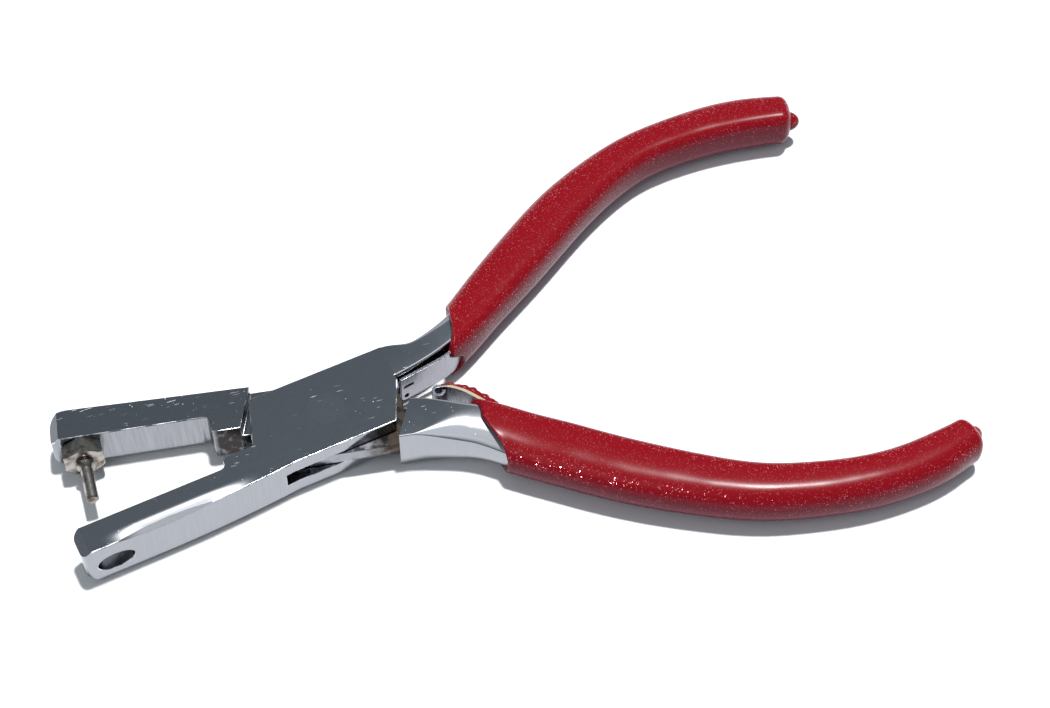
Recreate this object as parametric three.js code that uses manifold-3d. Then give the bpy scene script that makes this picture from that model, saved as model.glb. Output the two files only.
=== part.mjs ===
import * as THREE from 'three';
import { mergeVertices } from 'three/addons/utils/BufferGeometryUtils.js';
import Module from 'manifold-3d';

const wasm = await Module();
wasm.setup();

// Hole punch pliers with a box joint, lying flat. Millimetres, +Z up.
// Both levers are drawn closed, about their middle plane, with the jaws towards -X and the pivot
// at the origin. They are then swung apart to the sprung-open rest position.

// Joint
const openAngle = THREE.MathUtils.degToRad(16.4);
const boxThickness = 7;
const boxHalfWidth = 6.5;
const slotHeight = 2.5;
const tongueClearance = 0.2;
const tongueRadius = 11.1;
const fitGap = 0.3;
const cutOverrun = 4;

// Cheeks of the box, measured from the pivot
const cheekFrontLow = 11.9;
const cheekFrontHigh = 9.3;
const cheekBackHigh = 11.2;
const cheekBackLow = 8.1;
const cheekTopReach = 12.8;

// Jaws
const jawReach = 39.8;
const throatReach = 16.6;
const throatFillet = 1.1;
const tipBevel = 1.2;

const dieFaceDrop = 2.9;
const dieJawBack = 7.55;
const dieBulgeStart = 7.5;
const dieBulgeBend = 18;
const dieBulgeEnd = 29;
const dieTipInnerRadius = 1.3;
const dieTipOuterRadius = 1.5;
const ledgeDrop = 1.1;
const ledgeEase = 0.5;

const punchJawReach = 39.3;
const punchJawThickness = 6.2;
const punchFaceRise = 1.95;
const punchJawBack = 7;
const punchHeelBack = 6.2;
const punchTipInnerRadius = 0.8;
const punchTipOuterRadius = 2.6;
const heelDrop = 0.8;
const heelBackLow = 12.4;
const heelBackHigh = 10.4;
const heelCornerRadius = 0.9;

// Shoulders of the punch lever behind the box
const shoulderHigh = 11.8;
const shoulderLow = 9.4;
const shoulderDrop = 0.35;
const shoulderBack = 6.9;
const shoulderReach = 14;

// Facet ground along the outer top edge of the die jaw
const facetPlace = 27;
const facetDepth = 0.55;
const facetWheelRadius = 60;

// Punch and die
const punchReach = 34.6;
const pinRadius = 0.9;
const pinTipDepth = 4.2;
const pinChamfer = 0.15;
const pinRoot = 2.2;
const collarRadius = 1.35;
const collarHeight = 0.5;
const hexSides = 6;
const hexAcrossFlats = 5.5;
const hexHeight = 2.45;
const shankRadius = 1.45;
const dieLand = 1.5;
const reliefLength = 5.4;
const reliefWidth = 3.2;
const reliefOffset = 0.75;
const reliefDrop = 0.6;

// Pivot rivet, countersunk and ground flush
const rivetShankRadius = 1.9;
const rivetHeadRadius = 2.35;
const rivetHeadDepth = 0.9;

// Handle cores
const handleReach = 88.5;
const handleBow = 24.9;
const handleWidth = 7.2;
const handleThickness = 5;
const neckEdgeRadius = 0.4;

// Edge rounding: a radius on the inner side, and how far it reaches across and down on the outer side
const coreEdges = {
  die: { inner: 0.6, across: 2, down: 1.8 },
  punch: { inner: 0.8, across: 4.8, down: 1.3 },
};
const dipEdges = { inner: 1.3, across: 3.2, down: 2.8 };

// Dipped skins
const dipWall = 0.8;
const dipLine = 22.1;
const dipLineTilt = THREE.MathUtils.degToRad(20.5);
const dipDome = 1.8;
const nubRadius = 1.7;
const nubLength = 2.2;
const nubOffset = 0.6;

// Leaf springs
const springThickness = 0.5;
const springHeight = 5;
const springStartReach = 11.8;
const springEndReach = 32.5;
const springRivetReach = 29.5;
const springRivetRadius = 0.9;
const springBow = 0.5;
const springBowReach = 19.5;
const springBowSpread = 3;
const springCornerRadius = 0.9;
const springSlotLength = 1.7;
const springSlotWidth = 0.5;
const springSlotRise = 0.55;
const springHoleRadius = 0.4;
const springHoleDrop = 1.6;
const springSeatReach = 21;
const springLiftReach = 24.5;
const springArchPull = 4;
const eyeRadius = 1.05;
const eyeReach = 16.45;
const eyeRise = 0.85;
const eyeSweep = THREE.MathUtils.degToRad(270);

// Station tables of the handles: share of the reach, of the bow, of the width,
// of the way from box to handle thickness, and of the way from sharp to rounded edges.
const handleShares = {
  die: [
    [0.102, 0.129, 0.889, 0.00, 0.00],
    [0.135, 0.129, 0.861, 0.00, 0.00],
    [0.173, 0.125, 0.694, 0.10, 0.10],
    [0.203, 0.145, 0.653, 0.25, 0.20],
    [0.237, 0.187, 0.674, 0.50, 0.40],
    [0.274, 0.251, 0.708, 0.80, 0.80],
    [0.316, 0.341, 0.764, 1.00, 1.00],
    [0.386, 0.482, 0.854, 1.00, 1.00],
    [0.456, 0.616, 0.896, 1.00, 1.00],
    [0.545, 0.785, 0.875, 1.00, 1.00],
    [0.639, 0.918, 0.770, 1.00, 1.00],
    [0.722, 0.990, 0.700, 1.00, 1.00],
    [0.802, 1.000, 0.700, 1.00, 1.00],
    [0.882, 0.976, 0.740, 1.00, 1.00],
    [0.950, 0.922, 0.740, 1.00, 1.00],
    [0.995, 0.867, 0.690, 1.00, 1.00],
  ],
  punch: [
    [0.135, 0.145, 0.917, 0.00, 0.00],
    [0.187, 0.185, 0.889, 0.10, 1.00],
    [0.242, 0.245, 0.889, 0.45, 1.00],
    [0.307, 0.371, 0.951, 1.00, 1.00],
    [0.359, 0.472, 0.972, 1.00, 1.00],
    [0.417, 0.586, 0.965, 1.00, 1.00],
    [0.489, 0.715, 0.938, 1.00, 1.00],
    [0.576, 0.846, 0.854, 1.00, 1.00],
    [0.659, 0.944, 0.778, 1.00, 1.00],
    [0.745, 0.988, 0.722, 1.00, 1.00],
    [0.825, 0.996, 0.681, 1.00, 1.00],
    [0.908, 0.958, 0.639, 1.00, 1.00],
    [0.972, 0.888, 0.583, 1.00, 1.00],
    [1.000, 0.847, 0.514, 1.00, 1.00],
  ],
};

// Fineness of the curved surfaces
const spansPerStation = 2;
const cornerSteps = 3;
const arcSteps = 16;
const roundSteps = 24;
const wheelSteps = 120;
const domeSteps = 3;
const domeSweep = THREE.MathUtils.degToRad(75);
const springSteps = 12;
const eyeSteps = 12;
const fullRoundShare = 0.98;
const searchTolerance = 1e-6;

const handleSide = { die: 1, punch: -1 };

// Solid helpers

function solid(geometry) {
  const bare = geometry.clone();
  bare.deleteAttribute('normal');
  bare.deleteAttribute('uv');
  const welded = mergeVertices(bare);
  const corners = welded.index.array;
  const kept = [];
  for (let i = 0; i < corners.length; i += 3) {
    const [a, b, c] = corners.slice(i, i + 3);
    if (a !== b && b !== c && c !== a) kept.push(a, b, c);
  }
  return new wasm.Manifold(new wasm.Mesh({
    numProp: 3,
    vertProperties: welded.attributes.position.array,
    triVerts: new Uint32Array(kept),
  }));
}

function namedMesh(name, body, finish) {
  const { vertProperties, triVerts } = body.getMesh();
  const geometry = new THREE.BufferGeometry();
  geometry.setAttribute('position', new THREE.BufferAttribute(vertProperties, 3));
  geometry.setIndex(new THREE.BufferAttribute(triVerts, 1));
  geometry.computeVertexNormals();
  const result = new THREE.Mesh(geometry, new THREE.MeshStandardMaterial(finish));
  result.name = name;
  return result;
}

function extruded(outline, depth) {
  return new THREE.ExtrudeGeometry(outline, { depth, bevelEnabled: false, curveSegments: arcSteps });
}

// An outline in plan, thickened evenly about the levers' middle plane.
function plate(outline, thickness) {
  return solid(extruded(outline, thickness).translate(0, 0, -thickness / 2));
}

// An outline in side view, given a width in y from one value to another.
function sideBlock(outline, fromY, toY) {
  return solid(extruded(outline, toY - fromY).rotateX(Math.PI / 2).translate(0, toY, 0));
}

function polygon(points) {
  return new THREE.Shape(points.map(([x, y]) => new THREE.Vector2(x, y)));
}

function roundCorner(outline, fromX, fromY, cornerX, cornerY, toX, toY) {
  outline.lineTo(fromX, fromY);
  outline.quadraticCurveTo(cornerX, cornerY, toX, toY);
}

function turned(profile) {
  return new THREE.LatheGeometry(profile.map(([radius, along]) => new THREE.Vector2(radius, along)), roundSteps);
}

function bar(radius, fromY, toY, sides) {
  const geometry = new THREE.CylinderGeometry(radius, radius, toY - fromY, sides);
  return geometry.translate(0, (fromY + toY) / 2, 0);
}

// A skin through a row of rings with equally many points, closed at both ends.
function loft(rings) {
  const count = rings[0].length;
  const hub = (ring) => ring.reduce((sum, p) => sum.add(p), new THREE.Vector3()).divideScalar(count);
  const points = rings.flat();
  const firstHub = points.push(hub(rings[0])) - 1;
  const lastHub = points.push(hub(rings[rings.length - 1])) - 1;
  const lastRing = (rings.length - 1) * count;
  const faces = [];
  for (let j = 0; j < count; j++) {
    const next = (j + 1) % count;
    for (let start = 0; start < lastRing; start += count) {
      const [a, b, c, d] = [start + j, start + next, start + count + j, start + count + next];
      faces.push(a, b, c, b, d, c);
    }
    faces.push(firstHub, next, j, lastHub, lastRing + j, lastRing + next);
  }
  const geometry = new THREE.BufferGeometry().setFromPoints(points);
  geometry.setIndex(faces);
  return solid(geometry);
}

// A strip on edge that follows a path in plan.
function ribbon(path, thickness, height) {
  const leftSide = [];
  const rightSide = [];
  path.forEach((point, i) => {
    const ahead = path[Math.min(i + 1, path.length - 1)].clone().sub(path[Math.max(i - 1, 0)]).normalize();
    const left = new THREE.Vector2(-ahead.y, ahead.x).multiplyScalar(thickness / 2);
    leftSide.push(point.clone().add(left));
    rightSide.unshift(point.clone().sub(left));
  });
  return plate(new THREE.Shape([...leftSide, ...rightSide]), height);
}

// Handles: an axis and a changing section for each lever, bowed to opposite sides

function handleCurves(lever) {
  const stations = handleShares[lever];
  const axis = stations.map(([reach, bow]) => (
    new THREE.Vector3(reach * handleReach, handleSide[lever] * bow * handleBow, 0)));
  const section = stations.map(([, , width, slim, round]) => new THREE.Vector3(width, slim, round));
  return {
    axis: new THREE.CatmullRomCurve3(axis),
    section: new THREE.CatmullRomCurve3(section),
    spans: (stations.length - 1) * spansPerStation,
  };
}

const curves = { die: handleCurves('die'), punch: handleCurves('punch') };

// The centre of a handle at a curve parameter, the ways along and across it, and its section.
function handleAt(lever, t) {
  const { axis, section } = curves[lever];
  const ahead = axis.getTangent(t);
  const left = new THREE.Vector3(-ahead.y, ahead.x, 0);
  const share = section.getPoint(t);
  return {
    centre: axis.getPoint(t),
    ahead,
    left,
    inward: left.clone().multiplyScalar(-handleSide[lever]),
    width: share.x * handleWidth,
    thickness: THREE.MathUtils.lerp(boxThickness, handleThickness, share.y),
    roundness: share.z,
  };
}

// The curve parameter at which a handle's axis is a given distance behind the pivot.
function parameterAt(lever, reach) {
  let low = 0;
  let high = 1;
  while (high - low > searchTolerance) {
    const middle = (low + high) / 2;
    if (curves[lever].axis.getPoint(middle).x < reach) low = middle;
    else high = middle;
  }
  return low;
}

function placeAt(lever, reach) {
  return handleAt(lever, parameterAt(lever, reach));
}

// A rectangle with rounded corners across the handle, counterclockwise as seen from the handle's end.
// The outer side's corners are quarter ellipses and the inner side's are quarter circles.
function sectionRing(lever, place, width, thickness, edges) {
  const inner = Math.min(edges.inner, fullRoundShare * width / 2, fullRoundShare * thickness / 2);
  const across = Math.min(edges.across, fullRoundShare * width - inner);
  const down = Math.min(edges.down, fullRoundShare * thickness / 2);
  const ring = [];
  [[1, 1], [-1, 1], [-1, -1], [1, -1]].forEach(([side, up], quarter) => {
    const [reach, drop] = side === handleSide[lever] ? [across, down] : [inner, inner];
    for (let step = 0; step <= cornerSteps; step++) {
      const angle = (quarter + step / cornerSteps) * Math.PI / 2;
      const sideways = side * (width / 2 - reach) + reach * Math.cos(angle);
      const height = up * (thickness / 2 - drop) + drop * Math.sin(angle);
      ring.push(place.centre.clone().addScaledVector(place.left, sideways).setZ(height));
    }
  });
  return ring;
}

// A bar along a handle from a curve parameter to the handle's end, grown all round by a skin,
// run on straight past the end and closed by a dome where these are asked for.
function handleBar(lever, { from = 0, grow = 0, edges, beyond = 0, dome = 0 }) {
  const ringAt = (place, share) => {
    const eased = (radius) => share * THREE.MathUtils.lerp(neckEdgeRadius, radius, place.roundness);
    return sectionRing(lever, place, share * (place.width + 2 * grow), share * (place.thickness + 2 * grow), {
      inner: eased(edges.inner),
      across: eased(edges.across),
      down: eased(edges.down),
    });
  };
  const steps = Math.round((1 - from) * curves[lever].spans);
  const rings = [];
  for (let i = 0; i <= steps; i++) rings.push(ringAt(handleAt(lever, from + (1 - from) * i / steps), 1));
  const end = handleAt(lever, 1);
  const past = (distance) => ({ ...end, centre: end.centre.clone().addScaledVector(end.ahead, distance) });
  if (beyond > 0) rings.push(ringAt(past(beyond), 1));
  for (let i = 1; dome > 0 && i <= domeSteps; i++) {
    const angle = domeSweep * i / domeSteps;
    rings.push(ringAt(past(beyond + dome * Math.sin(angle)), Math.cos(angle)));
  }
  return loft(rings);
}

// Pivot rivet: heads countersunk in both cheeks, flush with the box

function rivetTurning(gap, beyond) {
  const half = boxThickness / 2;
  return solid(turned([
    [0, -half - beyond],
    [rivetHeadRadius + gap, -half - beyond],
    [rivetHeadRadius + gap, -half],
    [rivetShankRadius + gap, -half + rivetHeadDepth],
    [rivetShankRadius + gap, half - rivetHeadDepth],
    [rivetHeadRadius + gap, half],
    [rivetHeadRadius + gap, half + beyond],
    [0, half + beyond],
  ]).rotateX(Math.PI / 2));
}

// Punch axis: square to the line from the pivot to the middle of the die's land,
// so that the pin swings into the die along itself

const punchDrop = dieFaceDrop + dieLand / 2;
const punchTilt = Math.atan2(punchDrop, punchReach);
const hexBack = (punchFaceRise + punchDrop) / Math.cos(punchTilt);
const hexFront = hexBack - hexHeight;
const pinTip = dieLand / 2 - pinTipDepth;
const shankEnd = (punchJawBack + punchDrop) / Math.cos(punchTilt);

function onPunchAxis(geometry) {
  return solid(geometry.rotateZ(punchTilt).translate(-punchReach, -punchDrop, 0));
}

// The hexagon butts on the jaw's face and its shank goes through the jaw, dressed flush behind.
function punchHolder() {
  const jawFace = new THREE.BoxGeometry(jawReach, cutOverrun, jawReach);
  jawFace.translate(-punchReach, punchFaceRise - fitGap + cutOverrun / 2, 0);
  const jawBack = new THREE.BoxGeometry(jawReach, cutOverrun, jawReach);
  jawBack.translate(-punchReach, punchJawBack - fitGap + cutOverrun / 2, 0);
  const pinHole = onPunchAxis(bar(pinRadius + fitGap, hexFront - cutOverrun, hexFront + pinRoot + fitGap, roundSteps));
  const hexRadius = hexAcrossFlats / 2 / Math.cos(Math.PI / hexSides);
  return onPunchAxis(bar(hexRadius, hexFront, hexBack + hexHeight, hexSides))
    .subtract(solid(jawFace))
    .add(onPunchAxis(bar(shankRadius, hexFront, shankEnd + shankRadius, roundSteps)))
    .subtract(solid(jawBack))
    .subtract(pinHole);
}

function punchPin() {
  const collarBack = hexFront - fitGap;
  return onPunchAxis(turned([
    [0, pinTip],
    [pinRadius - pinChamfer, pinTip],
    [pinRadius, pinTip + pinChamfer],
    [pinRadius, collarBack - collarHeight - (collarRadius - pinRadius)],
    [collarRadius, collarBack - collarHeight],
    [collarRadius, collarBack],
    [pinRadius, collarBack],
    [pinRadius, hexFront + pinRoot],
    [0, hexFront + pinRoot],
  ]));
}

// Die hole with its land, and the oval relief pocket that opens on the jaw's back
function dieOpenings() {
  const hole = onPunchAxis(bar(pinRadius + fitGap, pinTip - fitGap, dieLand + fitGap, roundSteps));
  const oval = new THREE.Shape();
  oval.absellipse(0, -reliefDrop, reliefLength / 2, reliefWidth / 2, 0, Math.PI * 2);
  return sideBlock(oval, -dieJawBack - cutOverrun, -dieFaceDrop - dieLand)
    .translate([-punchReach - reliefOffset, 0, 0])
    .add(hole);
}

// Side view of a jaw: both faces are bevelled at the tip
function jawSideView(reach, thickness, backReach) {
  const half = thickness / 2;
  return polygon([
    [-reach, -half + tipBevel],
    [-reach + tipBevel, -half],
    [backReach, -half],
    [backReach, half],
    [-reach + tipBevel, half],
    [-reach, half - tipBevel],
  ]);
}

// Leaf springs, riveted to the inner sides of the handle cores under the dip

// Points along the inner side of a handle, sunk by a depth and swollen outwards by a bow.
function alongInside(lever, fromReach, toReach, depth, bow) {
  const path = [];
  for (let i = 0; i <= springSteps; i++) {
    const reach = THREE.MathUtils.lerp(fromReach, toReach, i / springSteps);
    const place = placeAt(lever, reach);
    const swell = bow * Math.exp(-(((reach - springBowReach) / springBowSpread) ** 2));
    const point = place.centre.clone().addScaledVector(place.inward, place.width / 2 - depth + swell);
    path.push(new THREE.Vector2(point.x, point.y));
  }
  return path;
}

function springSeat(lever, fromReach) {
  const depth = springThickness + fitGap;
  const cut = depth + cutOverrun;
  const path = alongInside(lever, fromReach, springEndReach + fitGap, depth - cut / 2, 0);
  return ribbon(path, cut, boxThickness + cutOverrun);
}

function upperSpringPath() {
  return alongInside('die', springStartReach, springEndReach, springThickness / 2, springBow);
}

// The lower spring leaves its seat in an arch and ends in an eye rolled back towards its own lever.
function lowerSpringPath() {
  const seated = alongInside('punch', springLiftReach, springEndReach, springThickness / 2, 0);
  const start = seated[0];
  const forward = start.clone().sub(seated[1]).normalize();
  const coil = eyeRadius - springThickness / 2;
  const top = new THREE.Vector2(eyeReach, eyeRise + coil);
  const arch = new THREE.CubicBezierCurve(
    start,
    start.clone().addScaledVector(forward, springArchPull),
    new THREE.Vector2(top.x + springArchPull, top.y),
    top,
  );
  const eye = [];
  for (let i = eyeSteps; i > 0; i--) {
    const angle = Math.PI / 2 + eyeSweep * i / eyeSteps;
    eye.push(new THREE.Vector2(eyeReach + coil * Math.cos(angle), eyeRise + coil * Math.sin(angle)));
  }
  return [...eye, ...arch.getPoints(springSteps).reverse(), ...seated.slice(1)];
}

// The rivet runs through the core, flush with the strip on one side and the core on the other.
function springRivet(lever, gap, beyond) {
  const place = placeAt(lever, springRivetReach);
  const half = place.width / 2 + beyond;
  const pin = bar(springRivetRadius + gap, -half, half, roundSteps);
  pin.rotateZ(Math.atan2(place.left.y, place.left.x) - Math.PI / 2);
  return solid(pin.translate(place.centre.x, place.centre.y, 0));
}

function upperLeafSpring() {
  const path = upperSpringPath();
  const half = springHeight / 2;
  const front = path[0].x;
  const sideView = new THREE.Shape();
  sideView.moveTo(springEndReach + springHeight, -half);
  sideView.lineTo(springEndReach + springHeight, half);
  sideView.lineTo(front, half);
  roundCorner(sideView, front, -half + springCornerRadius, front, -half, front + springCornerRadius, -half);
  sideView.closePath();
  const slot = new THREE.BoxGeometry(springSlotLength, cutOverrun, springSlotWidth);
  slot.translate(front + springSlotWidth + springSlotLength / 2, path[0].y, springSlotRise);
  const hole = bar(springHoleRadius, -cutOverrun / 2, cutOverrun / 2, roundSteps);
  hole.translate(front + springCornerRadius, path[0].y, -springHoleDrop);
  return ribbon(path, springThickness, springHeight)
    .intersect(sideBlock(sideView, -handleBow, handleBow))
    .subtract(solid(slot))
    .subtract(solid(hole))
    .subtract(springRivet('die', fitGap, cutOverrun));
}

function lowerLeafSpring() {
  return ribbon(lowerSpringPath(), springThickness, springHeight)
    .subtract(springRivet('punch', fitGap, cutOverrun));
}

// Die lever: lower jaw, slotted box, neck and core of the upper handle

function diePlan() {
  const outline = new THREE.Shape();
  outline.moveTo(-throatReach - throatFillet, -dieFaceDrop);
  outline.quadraticCurveTo(-throatReach, -dieFaceDrop, -throatReach, -dieFaceDrop + throatFillet);
  outline.lineTo(-throatReach, -ledgeDrop - ledgeEase);
  outline.lineTo(-throatReach + ledgeEase, -ledgeDrop);
  outline.lineTo(-cheekFrontLow, -ledgeDrop);
  outline.lineTo(-cheekFrontHigh, boxHalfWidth);
  outline.lineTo(cheekTopReach, boxHalfWidth);
  outline.lineTo(cheekTopReach, 0);
  outline.lineTo(cheekBackHigh, 0);
  outline.lineTo(cheekBackLow, -boxHalfWidth);
  outline.lineTo(-dieBulgeStart, -boxHalfWidth);
  outline.quadraticCurveTo(-dieBulgeBend, -dieJawBack, -dieBulgeEnd, -dieJawBack);
  roundCorner(outline, -jawReach + dieTipOuterRadius, -dieJawBack, -jawReach, -dieJawBack,
    -jawReach, -dieJawBack + dieTipOuterRadius);
  roundCorner(outline, -jawReach, -dieFaceDrop - dieTipInnerRadius, -jawReach, -dieFaceDrop,
    -jawReach + dieTipInnerRadius, -dieFaceDrop);
  outline.closePath();
  return outline;
}

// What a grinding wheel leaves along an edge: a facet that is widest in its middle.
function groundFacet() {
  const outward = new THREE.Vector3(0, -1, 1).normalize();
  const centre = new THREE.Vector3(-facetPlace, -dieJawBack, boxThickness / 2);
  centre.addScaledVector(outward, facetWheelRadius - facetDepth);
  const wheel = bar(facetWheelRadius, -boxThickness, boxThickness, wheelSteps);
  return solid(wheel.rotateX(Math.PI / 4).translate(centre.x, centre.y, centre.z));
}

function dieLever() {
  const slot = new THREE.Shape();
  slot.absarc(0, 0, tongueRadius + fitGap, 0, Math.PI * 2);
  const slotMouth = polygon([
    [-cheekFrontLow - cutOverrun, -heelDrop - fitGap],
    [0, -heelDrop - fitGap],
    [0, boxHalfWidth + cutOverrun],
    [-cheekFrontLow - cutOverrun, boxHalfWidth + cutOverrun],
  ]);
  return plate(diePlan(), boxThickness)
    .intersect(sideBlock(jawSideView(jawReach, boxThickness, cheekTopReach), -jawReach, jawReach))
    .add(handleBar('die', { edges: coreEdges.die }))
    .subtract(plate(slot, slotHeight))
    .subtract(plate(slotMouth, slotHeight))
    .subtract(rivetTurning(fitGap, cutOverrun))
    .subtract(dieOpenings())
    .subtract(groundFacet())
    .subtract(springSeat('die', cheekBackHigh + fitGap))
    .subtract(springRivet('die', fitGap, cutOverrun));
}

// Punch lever: upper jaw with its heel, tongue, shoulders, neck and core of the lower handle

function punchJawPlan() {
  const outline = new THREE.Shape();
  outline.moveTo(-throatReach - throatFillet, punchFaceRise);
  outline.quadraticCurveTo(-throatReach, punchFaceRise, -throatReach, punchFaceRise - throatFillet);
  roundCorner(outline, -throatReach, -heelDrop + heelCornerRadius, -throatReach, -heelDrop,
    -throatReach + heelCornerRadius, -heelDrop);
  outline.lineTo(-heelBackLow, -heelDrop);
  outline.lineTo(-heelBackHigh, punchHeelBack);
  roundCorner(outline, -punchJawReach + punchTipOuterRadius, punchJawBack, -punchJawReach, punchJawBack,
    -punchJawReach, punchJawBack - punchTipOuterRadius);
  roundCorner(outline, -punchJawReach, punchFaceRise + punchTipInnerRadius, -punchJawReach, punchFaceRise,
    -punchJawReach + punchTipInnerRadius, punchFaceRise);
  outline.closePath();
  return outline;
}

// The tongue is a disc trimmed to the width of the box, with a web to the heel and one to the shoulders.
function tongue() {
  const thickness = slotHeight - 2 * tongueClearance;
  const corner = Math.asin(boxHalfWidth / tongueRadius);
  const disc = new THREE.Shape();
  disc.absarc(0, 0, tongueRadius, -corner, corner);
  disc.absarc(0, 0, tongueRadius, Math.PI - corner, Math.PI + corner);
  const webStart = rivetHeadRadius + fitGap;
  const heelWeb = polygon([
    [-heelBackLow - heelCornerRadius, -heelDrop],
    [-webStart, -heelDrop],
    [-webStart, boxHalfWidth],
    [-heelBackHigh - heelCornerRadius, boxHalfWidth],
  ]);
  const shoulderWeb = polygon([
    [webStart, -shoulderBack],
    [shoulderReach, -shoulderBack],
    [shoulderReach, -shoulderDrop],
    [webStart, -shoulderDrop],
  ]);
  return plate(disc, thickness).add(plate(heelWeb, thickness)).add(plate(shoulderWeb, thickness));
}

function shoulders() {
  return plate(polygon([
    [shoulderLow, -shoulderBack],
    [shoulderReach, -shoulderBack],
    [shoulderReach, -shoulderDrop],
    [shoulderHigh, -shoulderDrop],
  ]), boxThickness);
}

function punchLever() {
  const seat = onPunchAxis(bar(shankRadius + fitGap, 0, shankEnd + cutOverrun, roundSteps));
  return plate(punchJawPlan(), punchJawThickness)
    .intersect(sideBlock(jawSideView(punchJawReach, punchJawThickness, 0), -jawReach, jawReach))
    .subtract(seat)
    .add(tongue())
    .add(shoulders())
    .add(handleBar('punch', { edges: coreEdges.punch }))
    .subtract(rivetTurning(fitGap, cutOverrun))
    .subtract(springSeat('punch', springSeatReach))
    .subtract(springRivet('punch', fitGap, cutOverrun));
}

// Dipped skin: a wall all round the core, ended at the slanting dip line, with a drip at the far end

function handleDip(lever, springPath) {
  const wall = fitGap + dipWall;
  const from = parameterAt(lever, dipLine - handleWidth);
  const skin = handleBar(lever, { from, grow: wall, edges: dipEdges, beyond: fitGap, dome: dipDome });
  const hollow = handleBar(lever, { from: from / 2, grow: fitGap, edges: coreEdges[lever], beyond: fitGap });
  const end = handleAt(lever, 1);
  const drip = end.centre.clone().addScaledVector(end.ahead, dipDome).addScaledVector(end.inward, nubOffset);
  const nub = new THREE.SphereGeometry(nubRadius, roundSteps / 2, roundSteps / 3);
  nub.scale(nubLength / nubRadius, 1, 1).rotateZ(Math.atan2(end.ahead.y, end.ahead.x));
  nub.translate(drip.x, drip.y, 0);
  const line = placeAt(lever, dipLine).centre;
  const front = new THREE.BoxGeometry(handleReach, handleReach, handleReach);
  front.translate(-handleReach / 2, 0, 0).rotateZ(-handleSide[lever] * dipLineTilt);
  front.translate(line.x, line.y, 0);
  return skin
    .add(solid(nub))
    .subtract(hollow)
    .subtract(solid(front))
    .subtract(ribbon(springPath, springThickness + 2 * fitGap, springHeight + 2 * fitGap));
}

// Finishes

const groundSteel = { color: 0x6f7682, roughness: 0.35, metalness: 1 };
const polishedSteel = { color: 0xb4b8c2, roughness: 0.15, metalness: 1 };
const springSteel = { color: 0x9a9da6, roughness: 0.28, metalness: 1 };
const nickelPlate = { color: 0x8c8781, roughness: 0.12, metalness: 1 };
const glitterDip = { color: 0xa01423, roughness: 0.2, metalness: 0 };

// The two levers, swung apart about the pivot

const dieSide = new THREE.Group();
dieSide.add(
  namedMesh('die_lever', dieLever(), groundSteel),
  namedMesh('pivot_rivet', rivetTurning(0, 0), groundSteel),
  namedMesh('upper_leaf_spring', upperLeafSpring(), springSteel),
  namedMesh('upper_spring_rivet', springRivet('die', 0, 0), springSteel),
  namedMesh('upper_handle_dip', handleDip('die', upperSpringPath()), glitterDip),
);
dieSide.rotation.z = openAngle / 2;

const punchSide = new THREE.Group();
punchSide.add(
  namedMesh('punch_lever', punchLever(), polishedSteel),
  namedMesh('punch_holder', punchHolder(), nickelPlate),
  namedMesh('punch_pin', punchPin(), nickelPlate),
  namedMesh('lower_leaf_spring', lowerLeafSpring(), springSteel),
  namedMesh('lower_spring_rivet', springRivet('punch', 0, 0), springSteel),
  namedMesh('lower_handle_dip', handleDip('punch', lowerSpringPath()), glitterDip),
);
punchSide.rotation.z = -openAngle / 2;

// The box stands with its underside at zero height and the pivot on the origin.
const pliers = new THREE.Group();
pliers.add(dieSide, punchSide);
pliers.position.z = boxThickness / 2;
pliers.updateMatrixWorld(true);

export default pliers;
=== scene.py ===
import math

import bmesh
import bpy
import numpy as np
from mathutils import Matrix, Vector


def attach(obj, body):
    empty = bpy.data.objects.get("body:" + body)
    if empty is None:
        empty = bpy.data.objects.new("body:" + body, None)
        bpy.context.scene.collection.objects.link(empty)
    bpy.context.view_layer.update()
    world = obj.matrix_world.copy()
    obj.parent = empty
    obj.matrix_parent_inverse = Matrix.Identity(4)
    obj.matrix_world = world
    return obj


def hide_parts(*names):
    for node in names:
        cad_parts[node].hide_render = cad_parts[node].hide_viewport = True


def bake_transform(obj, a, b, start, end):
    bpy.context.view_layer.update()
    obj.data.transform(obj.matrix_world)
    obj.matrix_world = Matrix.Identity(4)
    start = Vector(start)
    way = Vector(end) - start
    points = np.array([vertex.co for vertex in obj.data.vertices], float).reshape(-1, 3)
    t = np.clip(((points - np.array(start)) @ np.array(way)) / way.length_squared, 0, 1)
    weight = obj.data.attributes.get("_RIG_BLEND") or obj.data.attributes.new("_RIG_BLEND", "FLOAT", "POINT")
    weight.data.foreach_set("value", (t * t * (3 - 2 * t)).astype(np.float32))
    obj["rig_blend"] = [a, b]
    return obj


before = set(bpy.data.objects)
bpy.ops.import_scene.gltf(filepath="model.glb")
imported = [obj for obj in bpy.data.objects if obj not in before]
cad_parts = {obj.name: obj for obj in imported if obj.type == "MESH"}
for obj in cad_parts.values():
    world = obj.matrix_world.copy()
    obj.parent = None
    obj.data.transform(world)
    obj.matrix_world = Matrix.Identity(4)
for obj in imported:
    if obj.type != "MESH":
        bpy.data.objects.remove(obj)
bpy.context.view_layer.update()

# Hole punch pliers with a box joint, lying flat. Lengths are in mm here and become metres in makePiece.
# Both levers are worked out closed, about their middle plane, and are then swung apart to rest.
tool = {"openDegrees": 16.4, "restLift": 3.5, "boxThickness": 7.0}
bodyOf = {"die": "die_side", "punch": "punch_side"}
sideOf = {"die": 1.0, "punch": -1.0}  # the side of the middle line that the handle lies on
mm = 0.001


# Half the opening angle, the way a lever swings to rest.
def swing(lever):
    return math.radians(tool["openDegrees"] / 2) * sideOf[lever]


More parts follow.
